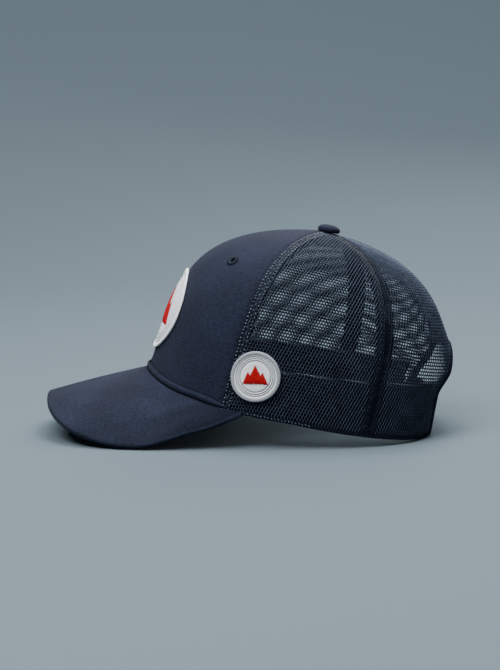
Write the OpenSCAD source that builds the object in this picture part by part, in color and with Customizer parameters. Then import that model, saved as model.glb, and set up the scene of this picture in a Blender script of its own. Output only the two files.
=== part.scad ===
// Five-panel trucker cap: stiff twill front, open mesh sides and back, curved visor and a snap strap.
// Millimetres. +Z is up, the visor points to -Y and the wearer's left is +X.
// The origin is on the table, under the middle of the cap.

/* [Crown] */
// Half the width of the crown at its edge
half_w = 84; // [78:0.5:90]
// Half the length of the crown at its edge
half_l = 100.5; // [94:0.5:106]
// Height of the crown above its edge, without the rise at the button
dome_h = 108; // [100:0.5:116]
// Extra rise of the crown at its button
peak_h = 8.5; // [4:0.5:12]
// How far back the front panel leans, as a share of its radius at the top
front_lean = 0.11; // [0.05:0.01:0.2]
// How much lower the edge runs beside the ears than at the back
side_dip = 8; // [4:0.5:10]
// Backward tilt of the crown as it stands on its visor
tilt = 13.5; // [12:0.5:15]

/* [Panels] */
// Angle from the middle of the front to the seam of the front panel
front_seam = 60; // [56:1:64]
// Angle from the middle of the front to the seam between the side and back mesh
side_seam = 116; // [110:1:122]
// Thickness of the twill
twill_t = 0.9; // [0.6:0.1:1.2]
// Thickness of the mesh
mesh_t = 1.2; // [0.8:0.1:1.4]
// Height of the sweatband
band_h = 33; // [24:1:34]
// Thickness of the sweatband
band_t = 2.2; // [1.4:0.1:2.6]
// Width of the tapes that cover the seams inside
tape_w = 13; // [9:1:16]

/* [Back opening] */
// Height of the arch above the crown's edge
arch_h = 60; // [50:1:62]
// Half the width of the arch, as an angle around the crown
arch_half = 31; // [28:1:33]
// How far the mesh flares out around the arch
arch_flare = 8.5; // [3:0.5:10]
// Width of the binding along the arch
binding_w = 3; // [2:0.5:4]

/* [Visor] */
// Length of the visor in front of the crown
visor_l = 71.5; // [64:1:78]
// Radius that the visor is bent to, across the cap
visor_r = 98; // [96:1:112]
// Fall of the visor for each millimetre forward, beside the crown
visor_slope = 0.2; // [0.17:0.01:0.24]
// Angle from the middle of the front to each end of the visor
visor_end = 69; // [66:1:71]
// Thickness of the board inside the visor
board_t = 1.9; // [1.4:0.1:2.4]

/* [Strap] */
// Height of the two snap straps
strap_h = 21; // [17:0.5:21]
// Thickness of the two snap straps
strap_t = 1.5; // [1.2:0.1:1.6]
// Radius of a peg
peg_r = 1.8; // [1.5:0.1:2.2]
// Room around a peg in its hole
peg_room = 0.5; // [0.4:0.05:0.7]
// Distance between pegs
peg_pitch = 8; // [7:0.5:8.5]
// Number of pegs on the inner strap
peg_count = 6; // [4:1:6]
// Number of holes in the outer strap
hole_count = 6; // [5:1:6]

/* [Patches] */
// Radius of the front patch
front_patch_r = 31; // [26:0.5:33]
// Radius of the side patch
side_patch_r = 16.5; // [14:0.5:17]
// Angle from the middle of the front to the side patch
side_patch_at = 70; // [68:1:74]

/* [Hidden] */

navy = [0.15, 0.17, 0.26];
black_mesh = [0.07, 0.08, 0.13];
white = [0.90, 0.90, 0.92];
silver = [0.70, 0.71, 0.74];
red = [0.72, 0.06, 0.08];

gap = 0.3;              // clearance between sewn layers
crown_back = 27.7;      // distance of the crown's centre behind the origin
crown_up = 24.05;          // height of the crown's edge plane at its centre
crown_h = dome_h + peak_h;
front_bend = 1.8;       // exponents of the crown's profile and plan, front and back
back_bend = 3.1;
front_flat = 5.2;
back_flat = 3.1;
front_plan = 2.05;
back_plan = 2.75;
flare_z = 46;           // height at which the mesh flares out most around the arch
flare_foot = 27;        // height at which the flare starts
flare_h = 21;           // how the flare fades above, as a height
corner_dip = 2.2;        // extra dip of the edge just behind the visor's corners
flare_angle = 42;       // and to both sides, as an angle
arch_foot = 0.8;        // how narrow the arch is at its foot, as a share of its width
pole_r = 0.055;         // share of the crown's radius left open under the button
step = 6;               // angle between the crown's facets
rows = 10;              // facets from the crown's edge to its button
arch_steps = 12;        // facets along half of the arch

cover_t = 0.9;          // thickness of the cloth on the visor
visor_t = board_t + 2 * (cover_t + gap);
visor_front = 69.8;     // distance from the origin to the visor's inner edge, along the middle
visor_top_z = 43.72;     // height of the visor's top face there
visor_half = 81;        // half the width of the visor
visor_side_l = 21;      // length of the straight part of each side
visor_straight = 0.85;  // share of the outline that is the curve
visor_bend = 2.9;       // exponent of the curve
visor_droop = 0.0006;   // how much steeper the visor gets towards its front
visor_relax = 0.28;     // how much flatter the visor is beside the crown
relax_from = -85;       // where that starts, and over what length it grows
relax_l = 45;
visor_curl = 5.8;         // extra fall of the visor's sides towards their free edge
visor_steps = 24;       // facets across the visor
visor_rows = 7;         // facets from the crown to the visor's free edge

strap_y = 93.4;         // middle of the inner strap, from the crown's centre
tab_to = 157.4;         // angle at which each strap leaves its sewn end
hinge_x = 32.4;         // distance of each strap's bend from the middle
strap_z = 6;            // height of the straps' lower edge above the crown's edge
strap_reach = 25;       // how far each strap goes past the middle
peg_h = 3.4;            // height of a peg

function mix(a, b, w) = a + (b - a) * w;
function ease(x) = let (c = max(0, min(1, x))) c * c * (3 - 2 * c);
function unit(a) = a / norm(a);

// Crown frame to cap frame.
function stand(p) = [
    p.x,
    crown_back + cos(tilt) * p.y + sin(tilt) * p.z,
    crown_up - sin(tilt) * p.y + cos(tilt) * p.z
];
module crown_frame() {
    translate([0, crown_back, crown_up]) rotate([-tilt, 0, 0]) children();
}

// Height of the visor's top face at a place in plan.
function beside_crown(y) = ease((y - relax_from) / relax_l);
function visor_fall(x) = visor_r - sqrt(visor_r * visor_r - x * x);
function visor_z(x, y) =
    let (back = y + visor_front)
    visor_top_z + visor_slope * back - visor_droop * pow(min(0, back), 2)
        - visor_fall(x) * (1 - visor_relax * beside_crown(y));

// The visor gets thinner towards its two corners: s is -1 at one and 1 at the other.
function visor_thin(s) = 1 - 0.25 * ease((min(1, abs(s)) - 0.8) / 0.2);

// Height in the crown frame at which the crown's edge meets the visor's underside.
function edge_on_visor(theta, x, y, z = 0, again = 3) =
    let (
        top = visor_z(x, crown_back + cos(tilt) * y + sin(tilt) * z),
        next = (top - visor_t * visor_thin(theta / visor_end) - crown_up + sin(tilt) * y) / cos(tilt)
    )
    again == 0 ? next : edge_on_visor(theta, x, y, next, again - 1);

// The crown's edge: level with the visor's underside in front, dipping beside the ears.
function edge_z(theta, x, y) =
    let (beside = side_dip * pow(sin(theta), 2) + corner_dip * ease((90 - abs(theta)) / 22))
    mix(edge_on_visor(theta, x, y), -beside, ease((abs(theta) - visor_end + 2) / 6));

function flare_share(z) =
    z > flare_z ? exp(-pow((z - flare_z) / flare_h, 2)) : ease((z - flare_foot) / (flare_z - flare_foot));

// A point on the crown: theta goes round from the front, v from the edge (0) to the button (1).
function crown_point(theta, v) =
    let (
        w = (1 - cos(theta)) / 2,
        m = mix(front_flat, back_flat, w),
        n = mix(front_bend, back_bend, w),
        p = mix(front_plan, back_plan, w),
        s = sin(90 * v),
        rho = pow(max(0, 1 - pow(s, m)), 1 / n) * (1 - front_lean * (1 - w) * s),
        q = pow(pow(abs(sin(theta)), p) + pow(abs(cos(theta)), p), -1 / p),
        z = dome_h * s + peak_h * (1 - rho),
        flare = arch_flare * exp(-pow((180 - abs(theta)) / flare_angle, 2)) * flare_share(z),
        x = half_w * q * sin(theta),
        y = -half_l * q * cos(theta)
    )
    [x * rho, y * rho + flare, z + edge_z(theta, x, y) * pow(1 - z / crown_h, 2)];

function around(theta, v) = unit(crown_point(theta + 0.5, v) - crown_point(theta - 0.5, v));
function upward(theta, v) = unit(crown_point(theta, min(1, v + 0.01)) - crown_point(theta, max(0, v - 0.01)));
function outward(theta, v) = unit(cross(around(theta, v), upward(theta, v)));
function crown_at(theta, v, off) = crown_point(theta, v) + off * outward(theta, v);

// The v of a height above the edge plane, and the v where a panel ends under the button.
function v_of(z) = asin(min(1, z / dome_h)) / 90;

// The v at which a place on the crown is truly z above the crown's frame, whatever the edge does below it.
function v_at_height(theta, z, guess, again = 3) =
    let (next = z - crown_point(theta, 0).z * pow(1 - guess / crown_h, 2))
    again == 0 ? v_of(next) : v_at_height(theta, z, next, again - 1);
function pole_v(theta) =
    let (
        w = (1 - cos(theta)) / 2,
        r = pole_r / (1 - front_lean * (1 - w)),
        s = pow(1 - pow(r, mix(front_bend, back_bend, w)), 1 / mix(front_flat, back_flat, w))
    )
    asin(s) / 90;

// The arch: u goes from its foot (0) to its top (1). Each point is [theta, v].
function arch_at(u) =
    let (
        z = arch_h * pow(sin(90 * u), 0.8),
        a = arch_half * pow(cos(90 * u), 0.4) * (1 - (1 - arch_foot) * pow(1 - z / arch_h, 4))
    )
    [180 - a, v_of(z)];

foot_angle = 180 - arch_half * arch_foot;
tab_from = foot_angle - 7;

// A closed shell between two matching grids of points.
module shell(outer, inner) {
    nr = len(outer);
    nc = len(outer[0]);
    function o(r, c) = r * nc + c;
    function i(r, c) = nr * nc + r * nc + c;
    points = concat([for (row = outer) each row], [for (row = inner) each row]);
    skin = [for (r = [0:nr - 2], c = [0:nc - 2]) each [
        [o(r, c), o(r + 1, c), o(r + 1, c + 1)], [o(r, c), o(r + 1, c + 1), o(r, c + 1)],
        [i(r, c), i(r + 1, c + 1), i(r + 1, c)], [i(r, c), i(r, c + 1), i(r + 1, c + 1)]
    ]];
    ends = [for (c = [0:nc - 2], r = [nr - 1]) each [
        [o(0, c), o(0, c + 1), i(0, c + 1)], [o(0, c), i(0, c + 1), i(0, c)],
        [o(r, c + 1), o(r, c), i(r, c)], [o(r, c + 1), i(r, c), i(r, c + 1)]
    ]];
    sides = [for (r = [0:nr - 2], c = [nc - 1]) each [
        [o(r + 1, 0), o(r, 0), i(r, 0)], [o(r + 1, 0), i(r, 0), i(r + 1, 0)],
        [o(r, c), o(r + 1, c), i(r + 1, c)], [o(r, c), i(r + 1, c), i(r, c)]
    ]];
    polyhedron(points, concat(skin, ends, sides));
}

// A bar swept through matching sections, with flat ends, or closed into a ring.
module sweep(sections, closed = false) {
    n = len(sections[0]);
    last = len(sections);
    function at(s, k) = (s % last) * n + k % n;
    walls = [for (s = [0:last - (closed ? 1 : 2)], k = [0:n - 1]) each [
        [at(s, k), at(s + 1, k), at(s + 1, k + 1)], [at(s, k), at(s + 1, k + 1), at(s, k + 1)]
    ]];
    caps = closed ? [] : [[for (k = [0:n - 1]) k], [for (k = [n - 1:-1:0]) at(last - 1, k)]];
    polyhedron([for (s = sections) each s], concat(walls, caps));
}

// Part of the crown between two angles and two heights, given as offsets from its outer face.
module crown_strip(theta_0, theta_1, v_0, v_1, off_0, off_1, cols, bands) {
    function grid(off) = [for (r = [0:bands]) [for (c = [0:cols])
        crown_at(mix(theta_0, theta_1, c / cols), mix(v_0, v_1, r / bands), off)]];
    shell(grid(max(off_0, off_1)), grid(min(off_0, off_1)));
}

// A whole panel from the edge up to the button.
module crown_panel(theta_0, theta_1, off_0, off_1) {
    cols = round((theta_1 - theta_0) / step);
    function grid(off) = [for (r = [0:rows]) [for (c = [0:cols])
        let (theta = mix(theta_0, theta_1, c / cols)) crown_at(theta, pole_v(theta) * r / rows, off)]];
    shell(grid(off_1), grid(off_0));
}

seam_gap = 0.15;        // half the angle left free at a seam

module front_panel() {
    color(navy) crown_frame() crown_panel(-front_seam + seam_gap, front_seam - seam_gap, -twill_t, 0);
}

module front_buckram() {
    color(white) crown_frame()
        crown_panel(-front_seam + 1, front_seam - 1, -2 * twill_t - gap, -twill_t - gap);
}

module side_mesh() {
    color(black_mesh) crown_frame() crown_panel(front_seam + seam_gap, side_seam - seam_gap, -mesh_t, 0);
}

// The back panel's lower edge runs along the crown's edge and then up the arch.
module back_mesh() {
    edge_cols = round((foot_angle - side_seam) / step);
    cols = edge_cols + arch_steps;
    function low(c) = c <= edge_cols ? [mix(side_seam + seam_gap, foot_angle, c / edge_cols), 0]
        : arch_at((c - edge_cols) / arch_steps);
    function high(c) =
        let (theta = mix(side_seam + seam_gap, 180 - seam_gap, c / cols))
        [theta, pole_v(theta)];
    function place(c, r) = let (t = r / rows)
        [mix(min(low(c).x, 180 - seam_gap), high(c).x, 1 - pow(1 - t, 4)), mix(low(c).y, high(c).y, t)];
    function grid(off) = [for (r = [0:rows]) [for (c = [0:cols])
        crown_at(place(c, r).x, place(c, r).y, off)]];
    color(black_mesh) crown_frame() shell(grid(0), grid(-mesh_t));
}

// The button stands more upright than the crown.
module crown_button() {
    color(navy) crown_frame() translate([0, 0, crown_h - 0.6]) rotate([button_tilt, 0, 0])
        rotate_extrude($fn = 48) polygon([[0, -2.2], [2, -2.2], [2, 0.6], [5, 0.45], [6.6, 0.35], [7.5, 0.95],
            [7.9, 2.2], [7.6, 3.6], [6.6, 4.6], [4.6, 5.3], [2.4, 5.6], [0, 5.7]]);
}

module button_rivet() {
    color(silver) crown_frame() translate([0, 0, crown_h - 5.2]) difference() {
        cylinder(r = 6, h = 1.2, $fn = 48);
        translate([0, 0, -1]) cylinder(r = 2.3, h = 4, $fn = 32);
    }
}

button_tilt = 3;
eyelet_at = 37.5;        // angle and height of the eyelets
eyelet_z = 83.5;
module eyelet() {
    v = v_of(eyelet_z);
    middle = crown_point(eyelet_at, v);
    out = outward(eyelet_at, v);
    turn = atan2(out.y, out.x);
    lean = acos(out.z);
    color(navy) crown_frame() translate(middle + 0.75 * out) rotate([0, lean, turn])
        rotate_extrude($fn = 36) translate([3.2, 0]) circle(r = 0.6, $fn = 16);
}

// A tape inside a seam, of the same width all the way up.
module seam_tape(theta_mid, v_0, off) {
    function degree(v) = norm(crown_point(theta_mid + 0.5, v) - crown_point(theta_mid - 0.5, v));
    function half(v) = min(30, tape_w / 4 / degree(v));
    top_v = pole_v(theta_mid) - 0.06;
    function grid(off) = [for (r = [0:rows]) let (v = mix(v_0, top_v, r / rows)) [for (c = [-2:2])
        crown_at(theta_mid + c * half(v), v, off)]];
    color(black_mesh) crown_frame() shell(grid(off), grid(off - 0.6));
}

tape_off = -2 * twill_t - 3 * gap;
mesh_tape_off = -mesh_t - 2 * gap;
band_v = v_of(band_h);

module arch_binding() {
    function at(k) = k < 0 ? arch_at(1 + k) : let (a = arch_at(1 - k)) [360 - a.x, a.y];
    function place(k) = let (a = at(k)) crown_at(a.x, max(0.008, a.y), 0);
    function along(k) = unit(place(min(1, k + 0.02)) - place(max(-1, k - 0.02)));
    function out(k) = outward(at(k).x > 180 ? at(k).x - 360 : at(k).x, at(k).y);
    function section(k) = let (inward = cross(along(k), out(k)), a = 2 * gap, b = binding_w + 2 * gap) [
        for (p = [[a, -1.8], [a, 0.6], [b - 0.8, 0.6], [b, 0], [b, -1.2], [b - 0.8, -1.8]])
            place(k) + p.x * inward + p.y * out(k)];
    color(navy) crown_frame() sweep([for (k = [-arch_steps:arch_steps]) section(k / arch_steps)]);
}

module hem() {
    color(navy) crown_frame() crown_strip(visor_end + 5, tab_from - 1, 0.002, v_of(9), -mesh_t - gap,
        -mesh_t - gap - 0.6, 12, 1);
}

module sweatband() {
    reach = tab_from - 1;
    off = tape_off - 0.6 - gap;
    color(black_mesh) crown_frame() crown_strip(-reach, reach, 0.004, band_v, off, off - band_t, 48, 2);
}

// A place on the visor: s goes across from -1 to 1 and t from the crown (0) to the free edge (1).
function visor_inner(s) = stand(crown_at(visor_end * s, 0, 0.2));
function visor_outer(s, inset) =
    let (
        corner = stand(crown_point(visor_end, 0)),
        turn = 90 * min(1, abs(s) / visor_straight),
        straight = max(0, (abs(s) - visor_straight) / (1 - visor_straight)),
        side_y = corner.y - visor_side_l,
        reach = visor_l + visor_front + side_y - inset
    )
    [
        sign(s) * (visor_half - inset) * pow(sin(turn), 2 / visor_bend),
        side_y - reach * pow(cos(turn), 2 / visor_bend) + straight * (visor_side_l - 1)
    ];
function visor_at(s, t, off, inset = 0) =
    let (
        a = visor_inner(s),
        b = visor_outer(s, inset),
        x = mix(a.x, b.x, t),
        y = mix(a.y, b.y, t),
        lean = asin(x / visor_r),
        open = min(1, 6 * (1 - abs(s))),
        out = off * visor_thin(s)
    )
    [
        x + out * sin(lean) * t * open,
        y,
        visor_z(x, y) - visor_curl * t * t * open * beside_crown(y) + out * mix(1, cos(lean), t * open)
    ];
function visor_grid(off, inset = 0, skip = 0) = [for (r = [0:visor_rows]) [for (c = [skip:visor_steps - skip])
    visor_at(2 * c / visor_steps - 1, 1 - r / visor_rows, off, inset)]];

// The top cover folds down over the edges of the board and the under cover.
module visor_top_cover() {
    color(navy) shell(
        concat([visor_grid(-visor_t)[0]], visor_grid(0)),
        concat([visor_grid(-visor_t, cover_t)[0]], visor_grid(-cover_t, cover_t))
    );
}

// The board and the under cover stop short of the visor's corners.
under_fold = cover_t + gap;
module visor_layer(top, thickness, skip) {
    shell(visor_grid(top, under_fold, skip), visor_grid(top - thickness, under_fold, skip));
}
module visor_board() {
    color(white) visor_layer(-cover_t - gap, board_t, 2);
}
module visor_under_cover() {
    color(navy) visor_layer(-visor_t + cover_t, cover_t, 1);
}

// The rolled seam along the joint of the crown and the visor. It runs out at the front panel's seams.
welt_end = front_seam + 2;
welt_fade = 8;
module visor_welt() {
    profile = [[0.3, 4.1], [0.9, 3.9], [1.4, 3.1], [1.5, 2], [1.4, 1], [0.9, 0.5], [0.3, 0.5]];
    function share(theta) = mix(0.4, 1, ease((welt_end - abs(theta)) / welt_fade));
    function section(theta) = [for (p = profile)
        crown_point(theta, 0) + mix(0.3, p.x, share(theta)) * outward(theta, 0.02)
            + [0, 0, visor_t * visor_thin(theta / visor_end) + mix(0.5, p.y, share(theta))]];
    color(navy) crown_frame() sweep([for (k = [-visor_steps / 2:visor_steps / 2])
        section(welt_end * 2 * k / visor_steps)]);
}

// The straps lie flat, one over the other. Each bends at its sewn end about an upright line.
hole_y = strap_y + strap_t + 0.4;
module strap_blank(from_x, to_x, y) {
    translate([0, y + strap_t / 2, strap_z + strap_h / 2]) rotate([90, 0, 0]) linear_extrude(strap_t) hull() {
        translate([from_x + 0.2, 0]) square([0.4, strap_h], center = true);
        translate([to_x - sign(to_x) * 6, 0]) scale([0.6, 1, 1]) circle(r = strap_h / 2, $fn = 48);
    }
}
module peg_strap() {
    color(navy) crown_frame() {
        strap_blank(hinge_x - 0.4, -strap_reach, strap_y);
        for (k = [0:peg_count - 1])
            translate([-20 + k * peg_pitch, strap_y, strap_z + strap_h / 2]) rotate([-90, 0, 0])
                cylinder(r = peg_r, h = peg_h, $fn = 32);
    }
}
module hole_strap() {
    color(navy) crown_frame() difference() {
        strap_blank(-hinge_x, strap_reach, hole_y);
        for (k = [0:hole_count - 1])
            translate([-20 + k * peg_pitch, hole_y - strap_t, strap_z + strap_h / 2]) rotate([-90, 0, 0])
                cylinder(r = peg_r + peg_room, h = 2 * strap_t, $fn = 32);
    }
}

// The sewn end of a strap, inside the mesh.
module strap_tab() {
    off = -2.1;
    color(navy) crown_frame()
        crown_strip(tab_from, tab_to, v_of(strap_z), v_of(strap_z + strap_h), off, off - strap_t, 4, 4);
}

// How upright the crown's wall is behind a patch.
function patch_lean(theta_mid) = abs(theta_mid) < 30 ? 0.93 : 1;

// A point beside the middle of a patch, on the crown.
function patch_point(theta_mid, z_mid, r, a, off) =
    let (
        v_mid = v_at_height(theta_mid, z_mid, z_mid),
        steps = crown_point(theta_mid + 0.5, v_mid) - crown_point(theta_mid - 0.5, v_mid),
        theta = theta_mid + r * cos(a) / norm([steps.x, steps.y]),
        z = z_mid + r * sin(a) * patch_lean(theta_mid)
    )
    crown_at(theta, v_at_height(theta, z, z), off);

patch_sides = 40;

// A curved plate on the crown, whose outline is a radius for each angle.
module patch_plate(theta_mid, z_mid, radii, off_0, off_1) {
    n = len(radii);
    function ring(f, off) = [for (k = [0:n - 1])
        patch_point(theta_mid, z_mid, radii[k] * f, 360 * k / n, off)];
    shares = [1 / 3, 2 / 3, 1];
    rings = concat([for (f = shares) ring(f, off_1)], [for (k = [2:-1:0]) ring(shares[k], off_0)]);
    middle = [patch_point(theta_mid, z_mid, 0, 0, off_1), patch_point(theta_mid, z_mid, 0, 0, off_0)];
    last = len(rings) - 1;
    function at(s, k) = 2 + s * n + k % n;
    walls = [for (s = [0:last - 1], k = [0:n - 1]) each [
        [at(s, k), at(s, k + 1), at(s + 1, k + 1)], [at(s, k), at(s + 1, k + 1), at(s + 1, k)]
    ]];
    fans = [for (k = [0:n - 1]) each [[0, at(0, k + 1), at(0, k)], [1, at(last, k), at(last, k + 1)]]];
    polyhedron(concat(middle, [for (r = rings) each r]), concat(walls, fans));
}

module patch_base(theta_mid, z_mid, r) {
    crown_frame() patch_plate(theta_mid, z_mid, [for (k = [1:patch_sides]) r - 3.2], gap, 1.4);
}

// The thick overlocked border.
module patch_border(theta_mid, z_mid, r) {
    profile = [[0, 0.3], [0, 1.2], [-0.5, 2], [-1.4, 2.4], [-2.4, 2.2], [-3, 1.5], [-3, 0.3]];
    crown_frame() sweep([for (k = [0:patch_sides - 1]) [for (p = profile)
        patch_point(theta_mid, z_mid, r + p.x, -360 * k / patch_sides, p.y)]], true);
}

// Three mountain peaks above a straight foot, as a radius for each angle.
peaks = [[-1, -0.6], [1, -0.6], [0.6, 0.35], [0.42, 0.1], [0, 0.95], [-0.4, 0.12], [-0.58, 0.42]];
function cut(a, b, dir) =
    let (
        e = b - a,
        d = dir.x * e.y - dir.y * e.x,
        r = (a.x * e.y - a.y * e.x) / d,
        t = (a.x * dir.y - a.y * dir.x) / d
    )
    (abs(d) > 1e-9 && t >= 0 && t <= 1 && r > 0) ? r : 1e9;
function peak_radius(a) = min([for (k = [0:len(peaks) - 1])
    cut(peaks[k], peaks[(k + 1) % len(peaks)], [cos(a), sin(a)])]);
module patch_motif(theta_mid, z_mid, r, turn = 0) {
    radii = [for (k = [0:71]) r * peak_radius(5 * k - turn)];
    crown_frame() patch_plate(theta_mid, z_mid, radii, 1.6, 2.2);
}

front_patch_z = 39;
side_patch_z = 16.5;

front_panel();
front_buckram();
side_mesh();  // side_mesh_left
mirror([1, 0, 0]) side_mesh();  // side_mesh_right
back_mesh();  // back_mesh_left
mirror([1, 0, 0]) back_mesh();  // back_mesh_right
crown_button();
button_rivet();
eyelet();  // eyelet_left
mirror([1, 0, 0]) eyelet();  // eyelet_right
seam_tape(front_seam, band_v, tape_off);  // front_seam_tape_left
mirror([1, 0, 0]) seam_tape(front_seam, band_v, tape_off);  // front_seam_tape_right
seam_tape(side_seam, band_v, mesh_tape_off);  // side_seam_tape_left
mirror([1, 0, 0]) seam_tape(side_seam, band_v, mesh_tape_off);  // side_seam_tape_right
seam_tape(180, v_of(arch_h + 6), mesh_tape_off);  // back_seam_tape
arch_binding();
hem();  // hem_left
mirror([1, 0, 0]) hem();  // hem_right
visor_top_cover();
visor_board();
visor_under_cover();
visor_welt();
sweatband();
strap_tab();  // peg_strap_tab
mirror([1, 0, 0]) strap_tab();  // hole_strap_tab
peg_strap();
hole_strap();
color(white) patch_base(0, front_patch_z, front_patch_r);  // front_patch_base
color(white) patch_border(0, front_patch_z, front_patch_r);  // front_patch_border
color(red) patch_motif(0, front_patch_z, front_patch_r * 0.58);  // front_patch_motif
color(white) patch_base(side_patch_at, side_patch_z, side_patch_r);  // side_patch_base
color(silver) patch_border(side_patch_at, side_patch_z, side_patch_r);  // side_patch_border
color(red) patch_motif(side_patch_at, side_patch_z, side_patch_r * 0.5, tilt);  // side_patch_motif
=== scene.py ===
"""Looks of the trucker cap: worked out in millimetres on the crown's own surface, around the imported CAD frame."""
import math

import bmesh
import bpy
import numpy as np
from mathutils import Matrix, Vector


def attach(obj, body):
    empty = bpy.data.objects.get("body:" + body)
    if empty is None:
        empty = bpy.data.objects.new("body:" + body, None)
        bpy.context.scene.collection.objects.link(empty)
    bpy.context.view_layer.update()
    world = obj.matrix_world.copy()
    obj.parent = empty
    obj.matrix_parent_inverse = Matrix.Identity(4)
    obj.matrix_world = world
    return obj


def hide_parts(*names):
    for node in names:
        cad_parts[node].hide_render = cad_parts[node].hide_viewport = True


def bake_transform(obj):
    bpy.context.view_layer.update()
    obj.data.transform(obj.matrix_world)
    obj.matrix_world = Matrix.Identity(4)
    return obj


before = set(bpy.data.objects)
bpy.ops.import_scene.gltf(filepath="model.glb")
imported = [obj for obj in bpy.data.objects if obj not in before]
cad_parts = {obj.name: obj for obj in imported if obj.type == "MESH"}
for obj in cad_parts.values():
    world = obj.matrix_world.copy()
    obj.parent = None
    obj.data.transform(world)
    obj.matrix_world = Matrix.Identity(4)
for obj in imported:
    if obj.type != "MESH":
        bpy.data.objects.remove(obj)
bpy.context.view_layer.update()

# ---- The cap's dimensions, as in the CAD model (mm, degrees) ----
MM = 0.001
HALF_W, HALF_L, DOME_H, PEAK_H = 84.0, 100.5, 108.0, 8.5
CROWN_H = DOME_H + PEAK_H
FRONT_LEAN = 0.11
SIDE_DIP, CORNER_DIP = 8.0, 2.2
TILT = 13.5
CROWN_BACK, CROWN_UP = 27.7, 24.05
FRONT_BEND, BACK_BEND = 1.8, 3.1
FRONT_FLAT, BACK_FLAT = 5.2, 3.1
FRONT_PLAN, BACK_PLAN = 2.05, 2.75
FLARE, FLARE_Z, FLARE_FOOT, FLARE_H, FLARE_ANGLE = 8.5, 46.0, 27.0, 21.0, 42.0
POLE_R = 0.055
FRONT_SEAM, SIDE_SEAM = 60.0, 116.0
TWILL_T = 0.9
BAND_H = 33.0
ARCH_H, ARCH_HALF, ARCH_FOOT = 60.0, 31.0, 0.8
FOOT_ANGLE = 180 - ARCH_HALF * ARCH_FOOT
VISOR_L, VISOR_R, VISOR_SLOPE, VISOR_END = 71.5, 98.0, 0.2, 69.0
VISOR_T, VISOR_FRONT, VISOR_TOP_Z, VISOR_HALF, VISOR_SIDE_L = 4.3, 69.8, 43.72, 81.0, 21.0
VISOR_STRAIGHT, VISOR_BEND = 0.85, 2.9
VISOR_DROOP, VISOR_RELAX, RELAX_FROM, RELAX_L, VISOR_CURL = 0.0006, 0.28, -85.0, 45.0, 5.8
BUTTON_TILT, BUTTON_DROP = 3.0, 0.6
STRAP_H, STRAP_T, STRAP_Y, STRAP_Z, STRAP_REACH = 21.0, 1.5, 93.4, 6.0, 25.0
HOLE_Y = STRAP_Y + STRAP_T + 0.4
HINGE_X = 32.4
TAB_FROM, TAB_TO = FOOT_ANGLE - 7, 157.4
PEG_R, PEG_H, PEG_ROOM = 1.8, 3.4, 0.5
PEG_X = -20 + 8.0 * np.arange(6)
WELT_END, WELT_FADE = 62.0, 8.0
FRONT_PATCH = {"theta": 0.0, "z": 39.0, "r": 31.0, "lean": 0.93}
SIDE_PATCH = {"theta": 70.0, "z": 16.5, "r": 16.5, "lean": 1.0}
EYELET_AT, EYELET_Z = 37.5, 83.5
FLOOR_GAP = 0.03                # the lowest that a sewn edge comes

rng = np.random.default_rng(7)


# ---- Small mathematics ----
def mix(a, b, w):
    return a + (b - a) * w


def ease(x):
    x = np.clip(x, 0, 1)
    return x * x * (3 - 2 * x)


def sin(degrees):
    return np.sin(np.radians(degrees))


def cos(degrees):
    return np.cos(np.radians(degrees))


def unit(a):
    return a / np.maximum(np.linalg.norm(a, axis=-1, keepdims=True), 1e-12)


def lengths(path):
    """Distance along a path of points, from its start."""
    steps = np.linalg.norm(np.diff(path, axis=0), axis=-1)
    return np.concatenate([[0], np.cumsum(steps)])


def circle(count):
    """Angles once round, in degrees."""
    return np.linspace(0, 360, count + 1)[:-1]


def along(path, s):
    """Points of a path at the distances s."""
    d = lengths(path)
    return np.stack([np.interp(s, d, path[:, k]) for k in range(path.shape[1])], -1)


# ---- The crown's surface ----
def stand(p):
    """Crown frame to cap frame."""
    return np.stack([
        p[..., 0],
        CROWN_BACK + cos(TILT) * p[..., 1] + sin(TILT) * p[..., 2],
        CROWN_UP - sin(TILT) * p[..., 1] + cos(TILT) * p[..., 2],
    ], -1)


def beside_crown(y):
    return ease((y - RELAX_FROM) / RELAX_L)


def visor_z(x, y):
    """Height of the visor's top face at a place in plan."""
    back = y + VISOR_FRONT
    fall = VISOR_R - np.sqrt(VISOR_R**2 - x**2)
    return (VISOR_TOP_Z + VISOR_SLOPE * back - VISOR_DROOP * np.minimum(0, back) ** 2
            - fall * (1 - VISOR_RELAX * beside_crown(y)))


def visor_thin(s):
    """The visor gets thinner towards its two corners."""
    return 1 - 0.25 * ease((np.minimum(1, np.abs(s)) - 0.8) / 0.2)


def edge_z(theta, x, y):
    """Height of the crown's edge: on the visor's underside in front, dipping beside the ears."""
    z = 0 * x
    for _ in range(4):
        top = visor_z(x, CROWN_BACK + cos(TILT) * y + sin(TILT) * z)
        z = (top - VISOR_T * visor_thin(theta / VISOR_END) - CROWN_UP + sin(TILT) * y) / cos(TILT)
    beside = SIDE_DIP * sin(theta) ** 2 + CORNER_DIP * ease((90 - np.abs(theta)) / 22)
    return mix(z, -beside, ease((np.abs(theta) - VISOR_END + 2) / 6))


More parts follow.
